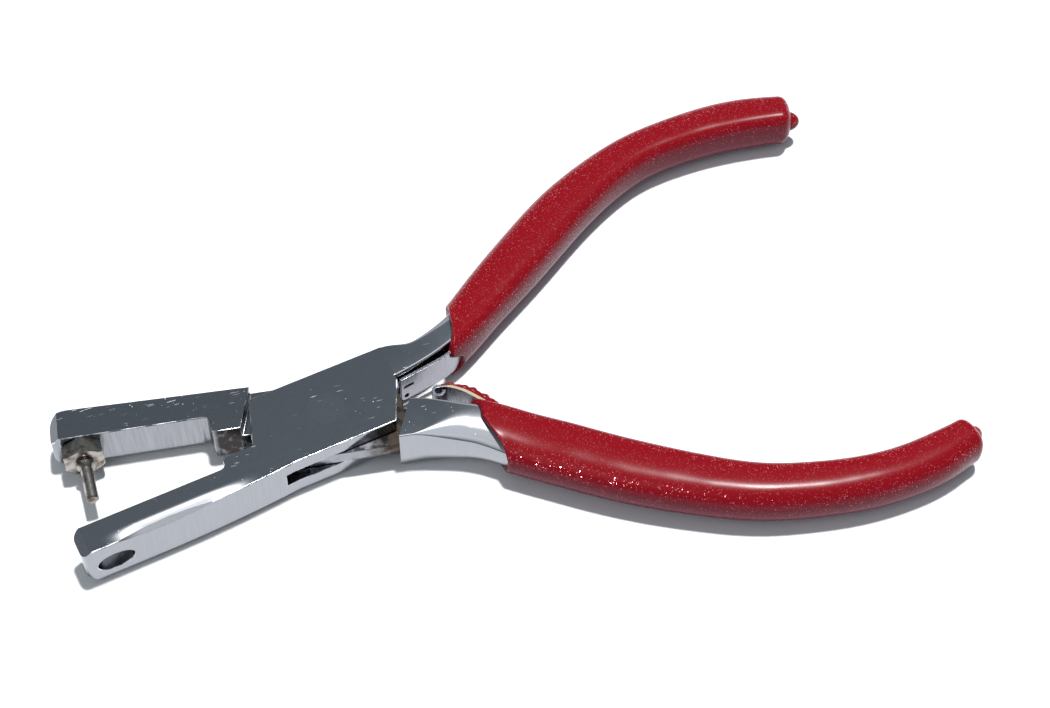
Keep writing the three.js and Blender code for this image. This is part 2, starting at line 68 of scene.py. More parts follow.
# Colour: sRGB hex to linear light, c/12.92 up to 0.04045 and ((c + 0.055)/1.055)^2.4 above.
def linearColour(hexText):
    parts = [int(hexText[i : i + 2], 16) / 255 for i in (1, 3, 5)]
    return [p / 12.92 if p <= 0.04045 else ((p + 0.055) / 1.055) ** 2.4 for p in parts] + [1.0]


# Links from other nodes' outputs to a node's inputs.
def linkInputs(tree, node, links):
    for key, source in links.items():
        tree.links.new(source, node.inputs[key])


# One node, with its settings by attribute or by input, and its links from other nodes' outputs. A number is
# an input's place: a Map Range reads from its 1 to its 2 and gives from its 3 to its 4.
def addNode(tree, kind, settings=None, links=None):
    node = tree.nodes.new(kind)
    for key, value in (settings or {}).items():
        if isinstance(key, str) and hasattr(node, key):
            setattr(node, key, value)
        else:
            node.inputs[key].default_value = value
    linkInputs(tree, node, links or {})
    return node


noiseSpan = {1: 0.3, 2: 0.7}  # most values of a noise texture lie between these


# A material with its colour and the settings that are the same all over it.
def startMaterial(name, colour, settings):
    material = bpy.data.materials.new(name)
    material.use_nodes = True
    tree = material.node_tree
    shader = tree.nodes["Principled BSDF"]
    shader.inputs["Base Color"].default_value = linearColour(colour)
    for key, value in settings.items():
        shader.inputs[key].default_value = value
    return material, tree, shader


# A pattern's scale from the real size of one of its cells, in mm.
def perCell(size):
    return 1 / (size * mm)


# Closed lever frame to rest: turned about the pivot by half the opening and lifted to its height, in metres.
def atRest(points, lever):
    angle = swing(lever)
    x, y, z = points[..., 0], points[..., 1], points[..., 2]
    turned = (x * math.cos(angle) - y * math.sin(angle), x * math.sin(angle) + y * math.cos(angle))
    return np.stack([*turned, z + tool["restLift"]], axis=-1) * mm


# An object in the scene, at the origin.
def linkPiece(name, data):
    piece = bpy.data.objects.new(name, data)
    bpy.context.scene.collection.objects.link(piece)
    return piece


# Smooth, but for the edges where faces meet at more than an angle in degrees.
def smoothed(data, sharp):
    data.shade_smooth()
    data.set_sharp_from_angle(angle=math.radians(sharp))


# One piece from closed shells of points in mm and their faces.
def makePiece(name, shells, material, lever, sharp=40.0):
    points = np.concatenate([shell[0] for shell in shells])
    faces, start = [], 0
    for shellPoints, shellFaces in shells:
        faces += [[start + i for i in face] for face in shellFaces]
        start += len(shellPoints)
    data = bpy.data.meshes.new(name)
    data.from_pydata(atRest(points, lever).tolist(), [], faces)
    mesh = bmesh.new()
    mesh.from_mesh(data)
    bmesh.ops.recalc_face_normals(mesh, faces=mesh.faces)  # the lower lever's shapes are mirrored
    mesh.to_mesh(data)
    mesh.free()
    smoothed(data, sharp)
    data.materials.append(material)
    return linkPiece(name, data)


# Numbers of the points in rings (rows, around), and the quads between each ring and the next.
def ringQuads(rows, around):
    index = np.arange(rows * around).reshape(rows, around)
    ahead = np.roll(index, -1, axis=1)
    quads = np.stack([index[:-1], ahead[:-1], ahead[1:], index[1:]], axis=-1)
    return index, quads.reshape(-1, 4).tolist()


# Rings (rows, around, 3) joined by quads, each end closed by a fan to its middle point.
def tubeShell(rings):
    rows, around = rings.shape[:2]
    index, quads = ringQuads(rows, around)
    first, last = rows * around, rows * around + 1
    for hub, ring in ((first, index[0]), (last, index[-1])):
        quads += np.stack([np.full(around, hub), ring, np.roll(ring, -1)], axis=-1).tolist()
    return np.concatenate([rings.reshape(-1, 3), rings[0].mean(0)[None], rings[-1].mean(0)[None]]), quads


# A profile of (radius, height) turned about its axis: x = r cos a, z = r sin a, y = height.
def turnedRings(profile, around):
    profile = np.array(profile, float)
    angle = np.linspace(0, 2 * np.pi, around, endpoint=False)
    radius, height = profile[:, :1], profile[:, 1:]
    return np.stack([radius * np.cos(angle), height + 0 * angle, radius * np.sin(angle)], axis=-1)


# A flat outline (n, 2) given a height from low to high, with its edges eased by a small chamfer.
def slabShell(outline, low, high, ease):
    outline = np.array(outline, float)
    behind, ahead = np.roll(outline, 1, axis=0), np.roll(outline, -1, axis=0)
    along = ahead - behind
    along /= np.linalg.norm(along, axis=1, keepdims=True)
    turn = np.sign(np.sum(outline[:, 0] * ahead[:, 1] - ahead[:, 0] * outline[:, 1]))
    inner = outline + turn * ease * np.stack([-along[:, 1], along[:, 0]], axis=1)
    levels = [(inner, low), (outline, low + ease), (outline, high - ease), (inner, high)]
    rings = np.stack([np.column_stack([flat, np.full(len(flat), z)]) for flat, z in levels])
    index, quads = ringQuads(*rings.shape[:2])
    return rings.reshape(-1, 3), quads + [index[0].tolist(), index[-1].tolist()]


# Natural cubic spline through the rows, by chord length. Its second derivatives solve a tridiagonal system.
def splineThrough(rows, samples):
    rows = np.array(rows, float)
    knots = np.concatenate([[0], np.cumsum(np.linalg.norm(np.diff(rows[:, :2], axis=0), axis=1))])
    span, rise = np.diff(knots)[:, None], np.diff(rows, axis=0)
    system, right = np.eye(len(rows)), np.zeros_like(rows)
    inner = np.arange(1, len(rows) - 1)
    system[inner, inner - 1] = span[:-1, 0]
    system[inner, inner] = 2 * (span[:-1, 0] + span[1:, 0])
    system[inner, inner + 1] = span[1:, 0]
    right[inner] = 6 * (rise[1:] / span[1:] - rise[:-1] / span[:-1])
    bend = np.linalg.solve(system, right)
    s = np.linspace(0, knots[-1], samples)
    at = np.clip(np.searchsorted(knots, s) - 1, 0, len(span) - 1)
    h, a, b = span[at], (knots[at + 1] - s)[:, None], (s - knots[at])[:, None]
    curve = (bend[at] * a**3 + bend[at + 1] * b**3) / (6 * h)
    return curve + (rows[at] / h - bend[at] * h / 6) * a + (rows[at + 1] / h - bend[at + 1] * h / 6) * b


# Reach behind the pivot, bow from the middle line, width and thickness of the steel, and how far its
# edges are rounded, at stations along each handle.
handles = {
    "die": [
        (9.0, 3.22, 6.5, 7.0, 0.0), (11.97, 3.24, 6.34, 7.0, 0.0), (15.3, 3.11, 5.0, 6.8, 0.1),
        (18.0, 3.61, 4.7, 6.5, 0.2), (20.97, 4.66, 4.85, 6.0, 0.4), (24.21, 6.25, 5.1, 5.4, 0.8),
        (27.99, 8.49, 5.5, 5.0, 1.0), (34.2, 12.0, 6.15, 5.0, 1.0), (40.32, 15.34, 6.45, 5.0, 1.0),
        (48.24, 19.55, 6.3, 5.0, 1.0), (56.52, 22.86, 5.54, 5.0, 1.0), (63.9, 24.65, 5.04, 5.0, 1.0),
        (71.01, 24.9, 5.04, 5.0, 1.0), (78.03, 24.3, 5.33, 5.0, 1.0), (84.06, 22.96, 5.33, 5.0, 1.0),
        (88.02, 21.59, 4.97, 5.0, 1.0), (90.5, 20.6, 4.8, 5.0, 1.0),
    ],
    "punch": [
        (8.0, 3.63, 6.55, 7.0, 0.0), (11.97, 3.63, 6.56, 7.0, 0.0), (16.56, 4.61, 6.4, 6.8, 1.0),
        (21.42, 6.1, 6.4, 6.1, 1.0), (27.18, 9.24, 6.85, 5.0, 1.0), (31.77, 11.75, 7.0, 5.0, 1.0),
        (36.9, 14.59, 6.95, 5.0, 1.0), (43.29, 17.8, 6.75, 5.0, 1.0), (50.94, 21.07, 6.15, 5.0, 1.0),
        (58.32, 23.51, 5.6, 5.0, 1.0), (65.97, 24.6, 5.2, 5.0, 1.0), (72.99, 24.8, 4.9, 5.0, 1.0),
        (80.37, 23.85, 4.6, 5.0, 1.0), (86.04, 22.11, 4.2, 5.0, 1.0), (88.47, 21.09, 3.7, 5.0, 1.0),
        (91.0, 20.0, 3.5, 5.0, 1.0),
    ],
}
handleSamples = 3000


# Dense samples along a handle: length s, and the station's values, the outward way and the way ahead.
def handlePath(lever):
    rows = np.array(handles[lever])
    rows[:, 1] *= sideOf[lever]
    dense = splineThrough(rows, handleSamples)
    step = np.gradient(dense[:, :2], axis=0)
    length = np.concatenate([[0], np.cumsum(np.linalg.norm(np.diff(dense[:, :2], axis=0), axis=1))])
    ahead = step / np.linalg.norm(step, axis=1, keepdims=True)
    outward = sideOf[lever] * np.stack([-ahead[:, 1], ahead[:, 0]], axis=1)
    return {"s": length, "columns": np.column_stack([dense, outward, ahead])}


paths = {lever: handlePath(lever) for lever in handles}


# Axis point x and y, width, thickness, roundness, outward way and way ahead at lengths s.
def alongHandle(lever, s):
    path = paths[lever]
    return [np.interp(s, path["s"], column) for column in path["columns"].T]


# The length s at which a handle has a reach.
def lengthAtReach(lever, reach):
    path = paths[lever]
    return float(np.interp(reach, path["columns"][:, 0], path["s"]))


# Around a section: parts of superellipses about a ridge line. At polar angle a the radius is
# (|cos a / halfWidth|^n + |sin a / halfHeight|^n)^(-1/n), with n of its own on the outer side, above and
# below on the inner side.
def superSection(angle, outerHalf, innerHalf, halfHeight, outerPower, innerPowers):
    cosine, sine = np.cos(angle), np.sin(angle)
    half = np.where(cosine >= 0, outerHalf, innerHalf)
    power = np.where(cosine >= 0, outerPower, np.where(sine > 0, *innerPowers))
    radius = (np.abs(cosine / half) ** power + np.abs(sine / halfHeight) ** power) ** (-1 / power)
    return radius * cosine, radius * sine


dip = {
    "wall": 1.1,  # vinyl over the steel
    "lineReach": 22.1,  # where the dip line crosses the handle's axis
    "lineTilt": 20.5,  # degrees, of that line from square to the pliers
    "lineShift": {"die": 0.15, "punch": 0.05},
    "wander": 0.16,  # unevenness of the dip line
    # where the line ran on or drew back: degrees round the handle, spread in degrees, and how far
    "drips": {"die": [(190, 34, -2.6), (240, 18, 0.9)], "punch": [(150, 36, -1.1), (75, 30, 0.6)]},
    "lipLength": 0.45,
    "lipSteps": 9,
    "lipTuck": [(0.35, -0.25), (0.0, -0.1)],  # along in mm and outwards in walls, before the lip's round
    "lipBead": 0.04,
    "beadLength": 0.8,
    "outerPower": 2.45,
    "innerPowers": (3.2, 2.5),  # above, below
    "ridgeShare": 0.06,  # the ridge lies this share of the width nearer the inner side
    "tipLength": 1.9,
    "tipPower": 2.3,
    "tipSteps": 16,
    "around": 72,
    "along": 260,
}


# The dip: rings from the slanting lip to the domed end. Row v runs from 0 at the lip to 1 at the end, and
# each point has its own start s0 on the dip line, so s = s0 + (end - s0) v.
def dipRings(lever):
    s0 = lengthAtReach(lever, dip["lineReach"] + dip["lineShift"][lever])
    width, thick, _, ox, oy, ax, ay = alongHandle(lever, s0)[2:]
    normal = math.radians(-sideOf[lever] * dip["lineTilt"])
    nx, ny = math.cos(normal), math.sin(normal)
    slant = -(ox * nx + oy * ny) / (ax * nx + ay * ny)
    angle = np.linspace(0, 2 * np.pi, dip["around"], endpoint=False)
    powers = dip["outerPower"], dip["innerPowers"]
    halfWidth = width / 2 + dip["wall"]
    across = superSection(angle, halfWidth, halfWidth, thick / 2 + dip["wall"], *powers)[0]
    start = s0 + slant * across
    start = start + dip["wander"] * (np.sin(3 * angle + 1) + 0.6 * np.sin(7 * angle + 2 + sideOf[lever]))
    for where, spread, length in dip["drips"][lever]:
        away = np.angle(np.exp(1j * (angle - math.radians(where))))
        start = start - length * np.exp(-((away / math.radians(spread)) ** 4))
    end = paths[lever]["s"][-1] - dip["tipLength"]

    lip = np.linspace(0, np.pi / 2, dip["lipSteps"])[1:]
    tuckStep, tuckGrow = np.array(dip["lipTuck"]).T
    lipStep = np.concatenate([tuckStep, dip["lipLength"] * (1 - np.cos(lip))])[:, None]
    body = np.linspace(0, 1, dip["along"])[1:, None]
    lipEnd = start + dip["lipLength"]
    s = np.concatenate([start + lipStep, lipEnd + (end - lipEnd) * body])
    grow = np.concatenate([tuckGrow, np.sin(lip), np.ones(len(body))])[:, None] * dip["wall"]
    grow = grow + dip["lipBead"] * np.exp(-(((s - lipEnd) / dip["beadLength"]) ** 2))
    tip = np.linspace(0, 1, dip["tipSteps"])[1:-1, None]
    s = np.concatenate([s, end + dip["tipLength"] * tip + 0 * angle])
    share = np.concatenate([np.ones((len(grow), 1)), (1 - tip ** dip["tipPower"]) ** (1 / dip["tipPower"])])
    grow = np.concatenate([grow, dip["wall"] + 0 * tip * angle])

    x, y, width, thick, _, ox, oy = alongHandle(lever, s)[:7]
    ridge = dip["ridgeShare"] * width
    outerHalf, innerHalf = width / 2 + grow + ridge, width / 2 + grow - ridge
    across, up = superSection(angle, outerHalf, innerHalf, thick / 2 + grow, *powers)
    across = (across - ridge) * share
    return np.stack([x + ox * across, y + oy * across, up * share], axis=-1)


nub = {
    "length": 2.3,
    "radius": 1.65,
    "inward": 0.5,
    "pole": 0.08,  # radians about each pole that a fan closes
    "rows": 20,
    "around": 32,
}


# The drip at the end of a dip: an egg, along = -length cos a and r = radius sin a, set on the handle's end.
def nubRings(lever):
    end = alongHandle(lever, paths[lever]["s"][-1] - dip["tipLength"] / 2)
    x, y, ox, oy, ax, ay = end[:2] + end[5:]
    angle = np.linspace(nub["pole"], np.pi - nub["pole"], nub["rows"])[:, None]
    turn = np.linspace(0, 2 * np.pi, nub["around"], endpoint=False)
    along = -nub["length"] * np.cos(angle) + 0 * turn
    sideways = nub["radius"] * np.sin(angle) * np.cos(turn) - nub["inward"]
    up = nub["radius"] * np.sin(angle) * np.sin(turn)
    return np.stack([x + ax * along + ox * sideways, y + ay * along + oy * sideways, up], axis=-1)


neck = {
    "steps": 10,  # of each rounded corner
    "rows": 150,
    "sharpEdge": 0.22,
    "inner": {"die": 0.6, "punch": 0.8},  # the corners' size where fully rounded
    "across": {"die": 2.0, "punch": 4.8},
    "down": {"die": 1.8, "punch": 1.3},
    "innerShare": 0.48,  # the most they take of the width and of the thickness
    "acrossShare": 0.85,
    "downShare": 0.49,
    "leastFlat": 0.05,
    "dieStart": 11.45,
    "overlap": 0.05,
    "seat": {"die": 0.8, "punch": 0.0},  # depth of the groove for the leaf spring
    "sunk": 0.004,  # below the ground flats, where they overlap
    "crownFrom": 11.4,  # reach over which the punch lever's neck becomes fully crowned
    "crownTo": 20.0,
    "shoulders": (9.4, 11.8),  # where the punch lever's shoulders start, at the outer and the inner side
    "shoulderWidth": 6.55,
    "end": 30.0,
}


# The bare neck: a rectangle with quarter-ellipse corners of across x down on the outer side and round ones
# on the inner side, both growing from a sharp edge as the handle rounds.
def neckRings(lever):
    if lever == "die":
        start, slope = lengthAtReach(lever, neck["dieStart"] - neck["overlap"]), 0.0
    else:
        low, high = (lengthAtReach(lever, reach) for reach in neck["shoulders"])
        start, slope = (low + high) / 2, (low - high) / neck["shoulderWidth"]
    end = lengthAtReach(lever, neck["end"])
    quarter = np.repeat(np.arange(4), neck["steps"] + 1)
    angle = (quarter + np.tile(np.linspace(0, 1, neck["steps"] + 1), 4)) * np.pi / 2
    side = np.where((quarter == 0) | (quarter == 3), 1, -1)
    up = np.where(quarter < 2, 1, -1)

    def section(s):
        x, y, width, thick, rounded, ox, oy = alongHandle(lever, s)[:7]
        if lever == "punch":
            rounded = np.clip((x - neck["crownFrom"]) / (neck["crownTo"] - neck["crownFrom"]), 0, 1)
            rounded = rounded * rounded * (3 - 2 * rounded)
        inner, across, down = (neck["sharpEdge"] + (neck[key][lever] - neck["sharpEdge"]) * rounded
                               for key in ("inner", "across", "down"))
        inner = np.minimum(inner, neck["innerShare"] * width)
        across = np.minimum(across, neck["acrossShare"] * width)
        reach = np.where(side > 0, np.minimum(across, width - inner - neck["leastFlat"]), inner)
        drop = np.where(side > 0, np.minimum(down, neck["downShare"] * thick), inner)
        groove = np.where(side < 0, neck["seat"][lever], 0)
        sideways = side * (width / 2 - reach) + reach * np.cos(angle) + groove
        height = up * (thick / 2 - neck["sunk"] - drop) + drop * np.sin(angle)
        return x + ox * sideways, y + oy * sideways, height, sideways

    first = start + slope * section(np.full(angle.shape, start))[3]
    share = np.linspace(0, 1, neck["rows"])[:, None]
    return np.stack(section(first + (end - first) * share)[:3], axis=-1)


tongue = {
    "radius": 11.1,
    "half": 1.05,  # half the thickness
    "halfWidth": 6.5,
    "start": -3.5,
    "steps": 40,
    "web": (2.65, 11.6, -6.55, -0.35),  # left, right, low, high
    "webSunk": 0.01,  # how far its faces lie inside the arc's
    "ease": 0.1,
}


# The tongue's back half: an arc of its radius between the sides of the box, and the web to the shoulders.
def tongueShells():
    side = tongue["halfWidth"]
    corner = math.asin(side / tongue["radius"])
    turn = np.linspace(-corner, corner, tongue["steps"])
    arc = tongue["radius"] * np.column_stack([np.cos(turn), np.sin(turn)])
    disc = np.concatenate([[[tongue["start"], -side]], arc, [[tongue["start"], side]]])
    left, right, low, high = tongue["web"]
    web = [(left, low), (right, low), (right, high), (left, high)]
    return [slabShell(outline, -half, half, tongue["ease"])
            for outline, half in ((disc, tongue["half"]), (web, tongue["half"] - tongue["webSunk"]))]


rivet = {
    "head": 2.72,
    "shank": 2.15,
    "headDepth": 0.9,
    "rimIn": 0.04,  # the narrow rim that shows as a ring
    "rimDown": 0.1,
    "proud": 0.004,
    "around": 96,
    "sharp": 8,
}


# The rivet: flush heads, countersunk down to the shank, turned about the pivot.
def rivetRings():
    half = tool["boxThickness"] / 2 + rivet["proud"]
    upper = [(rivet["shank"], half - rivet["headDepth"]), (rivet["head"], half - rivet["rimDown"]),
             (rivet["head"] - rivet["rimIn"], half)]
    lower = [(radius, -height) for radius, height in reversed(upper)]
    return turnedRings(lower + upper, rivet["around"])[..., [0, 2, 1]]


punch = {
    "reach": 34.6,
    "drop": 3.65,
    "hexFlats": 5.6,
    "hexFront": 3.18,
    "hexBack": 5.55,
    "hexAround": 144,
    "coneIn": 0.1,  # how far inside the flats the chamfer's cone starts
    "coneSlope": 1.73,
    "coneRows": (0.02, 1.0, 14),  # first and last depth of the rings down it, and how many
    "faceShare": 0.985,  # of the first ring's radius, which eases the face's rim
    "shank": 1.72,
    "shankSunk": 0.3,
    "shankEnd": 10.58,
    "shankEase": 0.1,
    "shankAround": 72,
}


# Points about the punch axis, moved to it: turned by its tilt and set at its foot.
def onPunchAxis(points):
    tilt = math.atan2(punch["drop"], punch["reach"])
    x, y, z = points[..., 0], points[..., 1], points[..., 2]
    return np.stack([x * math.cos(tilt) - y * math.sin(tilt) - punch["reach"],
                     x * math.sin(tilt) + y * math.cos(tilt) - punch["drop"], z], axis=-1)


# The hexagon: its radius at angle a is the smaller of flats / 2 / cos(a from the nearest flat) and a cone
# that is turned on its front, so each corner ends in a curved chamfer.
def hexRings():
    around = np.linspace(0, 2 * np.pi, punch["hexAround"], endpoint=False)
    fromFlat = (around + np.pi / 6) % (np.pi / 3) - np.pi / 6
    edge = punch["hexFlats"] / 2 / np.cos(fromFlat)
    length = punch["hexBack"] - punch["hexFront"]
    depth = np.concatenate([[0], np.linspace(*punch["coneRows"]), [length]])[:, None]
    cone = punch["hexFlats"] / 2 - punch["coneIn"] + depth * punch["coneSlope"]
    radius = np.minimum(edge, cone)
    radius[0] *= punch["faceShare"]
    height = punch["hexFront"] + depth + 0 * around
    return onPunchAxis(np.stack([radius * np.cos(around), height, radius * np.sin(around)], axis=-1))


# The holder's shank: a turned pin through the jaw, eased at both ends.
def shankRings():
    radius, ease, end = punch["shank"], punch["shankEase"], punch["shankEnd"]
    profile = [(radius - ease, punch["hexBack"] - punch["shankSunk"]), (radius, punch["hexBack"]),
               (radius, end - ease), (radius - ease, end)]
    return onPunchAxis(turnedRings(profile, punch["shankAround"]))


arch = {
    # reach, distance from the middle line and half thickness along the run
    "spine": [
        (16.72, 1.76, 0.12), (17.95, 1.7, 0.26), (19.32, 1.2, 0.38), (20.64, 0.45, 0.5), (21.85, -0.55, 0.6),
        (22.92, -1.66, 0.6), (23.93, -2.82, 0.52), (25.1, -3.9, 0.42), (26.6, -4.9, 0.4),
    ],
    "height": 5.25,
    "power": 0.5,
    "lump": 0.12,
    "topLump": 0.25,  # share of the lumps on its upper edge
    "endShare": 0.05,  # of its length, over which it is drawn to a round end
    "endHeight": 0.92,
    "rows": 130,
    "around": 32,
}


# Vinyl that ran up the outside of the lower spring: a rounded band, half thickness |cos a|^0.5 sideways by
# half height |sin a|^0.5 up, swollen outwards here and there by a few sines and drawn to a round end.
def springCoatRings():
    dense = splineThrough(arch["spine"], arch["rows"])
    x, y, thick = dense[:, :1], dense[:, 1:2], dense[:, 2:]
    step = np.gradient(dense[:, :2], axis=0)
    step /= np.linalg.norm(step, axis=1, keepdims=True)
    turn = np.linspace(0, 2 * np.pi, arch["around"], endpoint=False)
    v = np.linspace(0, 1, arch["rows"])[:, None]
    ends = (1 - (1 - np.clip(v / arch["endShare"], 0, 1)) ** 2) ** 0.5
    waves = np.sin(43 * v + 2 * turn) + 0.7 * np.sin(71 * v + 3 * turn + 1) + 0.5 * np.sin(19 * v + 1)
    lumps = arch["lump"] * waves
    cosine, sine = (np.sign(f) * np.abs(f) ** arch["power"] for f in (np.cos(turn), np.sin(turn)))
    sideways = ends * (thick * cosine + lumps * np.clip(np.cos(turn) * 2, 0, 1))
    up = (arch["endHeight"] + (1 - arch["endHeight"]) * ends) * arch["height"] / 2 * sine
    up = up + arch["topLump"] * lumps * ends * (np.sin(turn) > 0.5)
    return np.stack([x - step[:, 1:] * sideways, y + step[:, :1] * sideways, up], axis=-1)


# A mask of a few Voronoi cells, chosen by their random colour and drawn as their middles.
def rareCells(tree, vector, scale, rarity, reach):
    cells = addNode(tree, "ShaderNodeTexVoronoi", {"Scale": scale}, {"Vector": vector})
    chance = addNode(tree, "ShaderNodeSeparateColor", links={0: cells.outputs["Color"]})
    rare = addNode(tree, "ShaderNodeMath", {"operation": "GREATER_THAN", 1: rarity}, {0: chance.outputs[0]})
    near = addNode(tree, "ShaderNodeMath", {"operation": "LESS_THAN", 1: reach},
                   {0: cells.outputs["Distance"]})
    mask = addNode(tree, "ShaderNodeMath", {"operation": "MULTIPLY"},
                   {0: rare.outputs[0], 1: near.outputs[0]})
    return mask.outputs[0], chance.outputs[1], cells.outputs["Color"]


steelLook = {
    "colour": "#9d9fa4",
    "nick": "#e8e9ee",
    "darkening": "#302d2c",  # oil and rust, and painted shade on the walls in the throat
    "flat": {1: 0.9, 2: 0.99},  # height of the normal over which a side becomes a flat
    "shoulder": {1: 0.5, 2: 0.93},  # over which a shoulder grows duller, and clears again
    "shoulderEnd": {1: 0.975, 2: 0.999, 3: 1.0, 4: 0.0},
    "blotch": 0.9,  # mm
    "blotchy": 0.008,  # roughness either way
    "grain": (0.22, 0.22, 6.0),  # mm, up and down the sides, coarser than real belt marks so that it shows
    "grainTones": (0.8, 2.4),  # how much darker it gets, per unit of its roughness
    "nickRoughness": 0.4,
    # nicks and scratches: size of a cell in mm, degrees turned, share of the cells, reach in a cell
    "marks": [((2.1, 0.12, 2.1), -38, 0.06, 0.3), ((1.3, 0.1, 1.3), -62, 0.06, 0.3),
              ((0.24, 0.24, 0.24), 0, 0.035, 0.32)],
    "crowd": 7.0,  # mm, of the noise that crowds them together
    "crowded": {1: 0.45, 2: 0.62},
    "filmAndShadeFacing": {1: -0.35, 2: -0.6},  # y of the normal of the walls that it lies on
    "filmAndShadeFade": 0.9,  # mm
    "smear": 1.1,  # mm
    "smeared": {1: 0.25, 2: 0.45, 3: 0.35},
}


# Tool steel, ground on its flats and belt polished on its sides. The flats are dull, with scratches and
# nicks that scatter light; the sides mirror the table, with grain up and down where they were left brushed,
# and rolled shoulders are duller. A film of oil and rust darkens the walls that face the throat behind a
# given reach, and its dark colour is painted shade there as well.
def groundToolSteel(name, settings):
    look = steelLook
    sides, flats, brushed = settings["sides"], settings["flats"], settings["brushed"]
    material, tree, shader = startMaterial(name, look["colour"], {"Metallic": 1.0, "Roughness": sides})
    coords = addNode(tree, "ShaderNodeTexCoord")
    point = coords.outputs["Object"]
    normal = addNode(tree, "ShaderNodeSeparateXYZ", links={0: coords.outputs["Normal"]})
    upright = normal.outputs["Z"]
    spot = addNode(tree, "ShaderNodeSeparateXYZ", links={0: point})
    flat = addNode(tree, "ShaderNodeMapRange", look["flat"], {0: upright})

    blotch = addNode(tree, "ShaderNodeTexNoise", {"Scale": perCell(look["blotch"]), "Detail": 5.0},
                     {"Vector": point})
    dull = addNode(tree, "ShaderNodeMapRange",
                   {**noiseSpan, 3: flats - look["blotchy"], 4: flats + look["blotchy"]},
                   {0: blotch.outputs["Fac"]})
    lay = addNode(tree, "ShaderNodeMapping", {"Scale": [perCell(s) for s in look["grain"]]}, {0: point})
    grain = addNode(tree, "ShaderNodeTexNoise", {"Scale": 1.0, "Detail": 4.0}, {"Vector": lay.outputs[0]})
    streak = addNode(tree, "ShaderNodeMapRange", {**noiseSpan, 3: sides, 4: sides + brushed},
                     {0: grain.outputs["Fac"]})
    ground = addNode(tree, "ShaderNodeMix",
                     links={0: flat.outputs[0], 2: streak.outputs[0], 3: dull.outputs[0]})
    rising = addNode(tree, "ShaderNodeMapRange", {**look["shoulder"], 4: settings["crown"]}, {0: upright})
    falling = addNode(tree, "ShaderNodeMapRange", look["shoulderEnd"], {0: upright})
    rough = addNode(tree, "ShaderNodeMath", {"operation": "MULTIPLY_ADD"},
                    {0: rising.outputs[0], 1: falling.outputs[0], 2: ground.outputs[0]})

    marked = None
    for size, turn, few, reach in look["marks"]:
        lay = addNode(tree, "ShaderNodeMapping",
                      {"Rotation": (0, 0, math.radians(turn)), "Scale": [perCell(s) for s in size]},
                      {0: point})
        mask = rareCells(tree, lay.outputs[0], 1.0, 1 - settings["marks"] * few, reach)[0]
        if marked is None:
            marked = mask
        else:
            both = addNode(tree, "ShaderNodeMath", {"operation": "MAXIMUM"}, {0: marked, 1: mask})
            marked = both.outputs[0]
    crowd = addNode(tree, "ShaderNodeTexNoise", {"Scale": perCell(look["crowd"]), "Detail": 2.0},
                    {"Vector": point})
    worn = addNode(tree, "ShaderNodeMapRange", look["crowded"], {0: crowd.outputs["Fac"]})
    onFlat = addNode(tree, "ShaderNodeMath", {"operation": "MULTIPLY"},
                     {0: worn.outputs[0], 1: flat.outputs[0]})
    nicks = addNode(tree, "ShaderNodeMath", {"operation": "MULTIPLY"}, {0: marked, 1: onFlat.outputs[0]})
    roughAll = addNode(tree, "ShaderNodeMix", {3: look["nickRoughness"]},
                       {0: nicks.outputs[0], 2: rough.outputs[0]})

    least, most = (1.0 - share * brushed for share in look["grainTones"])
    shade = addNode(tree, "ShaderNodeMapRange", {**noiseSpan, 3: least, 4: most}, {0: grain.outputs["Fac"]})
    toned = addNode(tree, "ShaderNodeMix",
                    {"data_type": "RGBA", "blend_type": "MULTIPLY", 0: 1.0, 6: linearColour(look["colour"])},
                    {7: shade.outputs[0]})
    # Painted shade: the film's dark colour also stands for the shade on the walls that face the throat.
    facing = addNode(tree, "ShaderNodeMapRange", look["filmAndShadeFacing"], {0: normal.outputs["Y"]})
    filmAndShadeFrom, filmAndShadeTo = settings["filmAndShadeFrom"] * mm, (settings["filmAndShadeFrom"] + look["filmAndShadeFade"]) * mm
    behind = addNode(tree, "ShaderNodeMapRange", {1: filmAndShadeFrom, 2: filmAndShadeTo}, {0: spot.outputs["X"]})
    smear = addNode(tree, "ShaderNodeTexNoise", {"Scale": perCell(look["smear"]), "Detail": 5.0},
                    {"Vector": point})
    uneven = addNode(tree, "ShaderNodeMapRange", look["smeared"], {0: smear.outputs["Fac"]})
    darkening = addNode(tree, "ShaderNodeMath", {"operation": "MULTIPLY"},
                   {0: facing.outputs[0], 1: behind.outputs[0]})
    darkened = addNode(tree, "ShaderNodeMath", {"operation": "MULTIPLY"},
                     {0: darkening.outputs[0], 1: uneven.outputs[0]})
    tone = addNode(tree, "ShaderNodeMix", {"data_type": "RGBA", 7: linearColour(look["darkening"])},
                   {0: darkened.outputs[0], 6: toned.outputs[2]})
    bright = addNode(tree, "ShaderNodeMix", {"data_type": "RGBA", 7: linearColour(look["nick"])},
                     {0: nicks.outputs[0], 6: tone.outputs[2]})
    linkInputs(tree, shader, {"Base Color": bright.outputs[2], "Roughness": roughAll.outputs[0]})
    if settings["rolled"]:
        lean, leaning = rolledEdge(tree, point, upright, grain.outputs["Fac"])
        softer = addNode(tree, "ShaderNodeMath", {"operation": "MULTIPLY_ADD", 1: roll["duller"]},
                         {0: lean, 2: roughAll.outputs[0]})
        linkInputs(tree, shader, {"Roughness": softer.outputs[0], "Normal": leaning})
    return material


roll = {
    "edge": -7.55,  # y of the jaw's outer side
    "wide": 2.3,  # how far in from it the lean starts, and where it is full
    "full": 0.9,
    "from": -12.0,  # x where the lean starts, is full, starts to go and is gone
    "to": -22.0,
    "end": -30.0,
    "gone": -37.0,
    "top": {1: 0.5, 2: 0.6},  # height of the normal over which a face belongs to the jaw's top
    "tilt": 0.24,
    "uneven": (0.88, 1.05),  # shares of the tilt
    "ease": 0.5,  # how far the ground facet turns back to the flat
    "duller": 0.5,
}


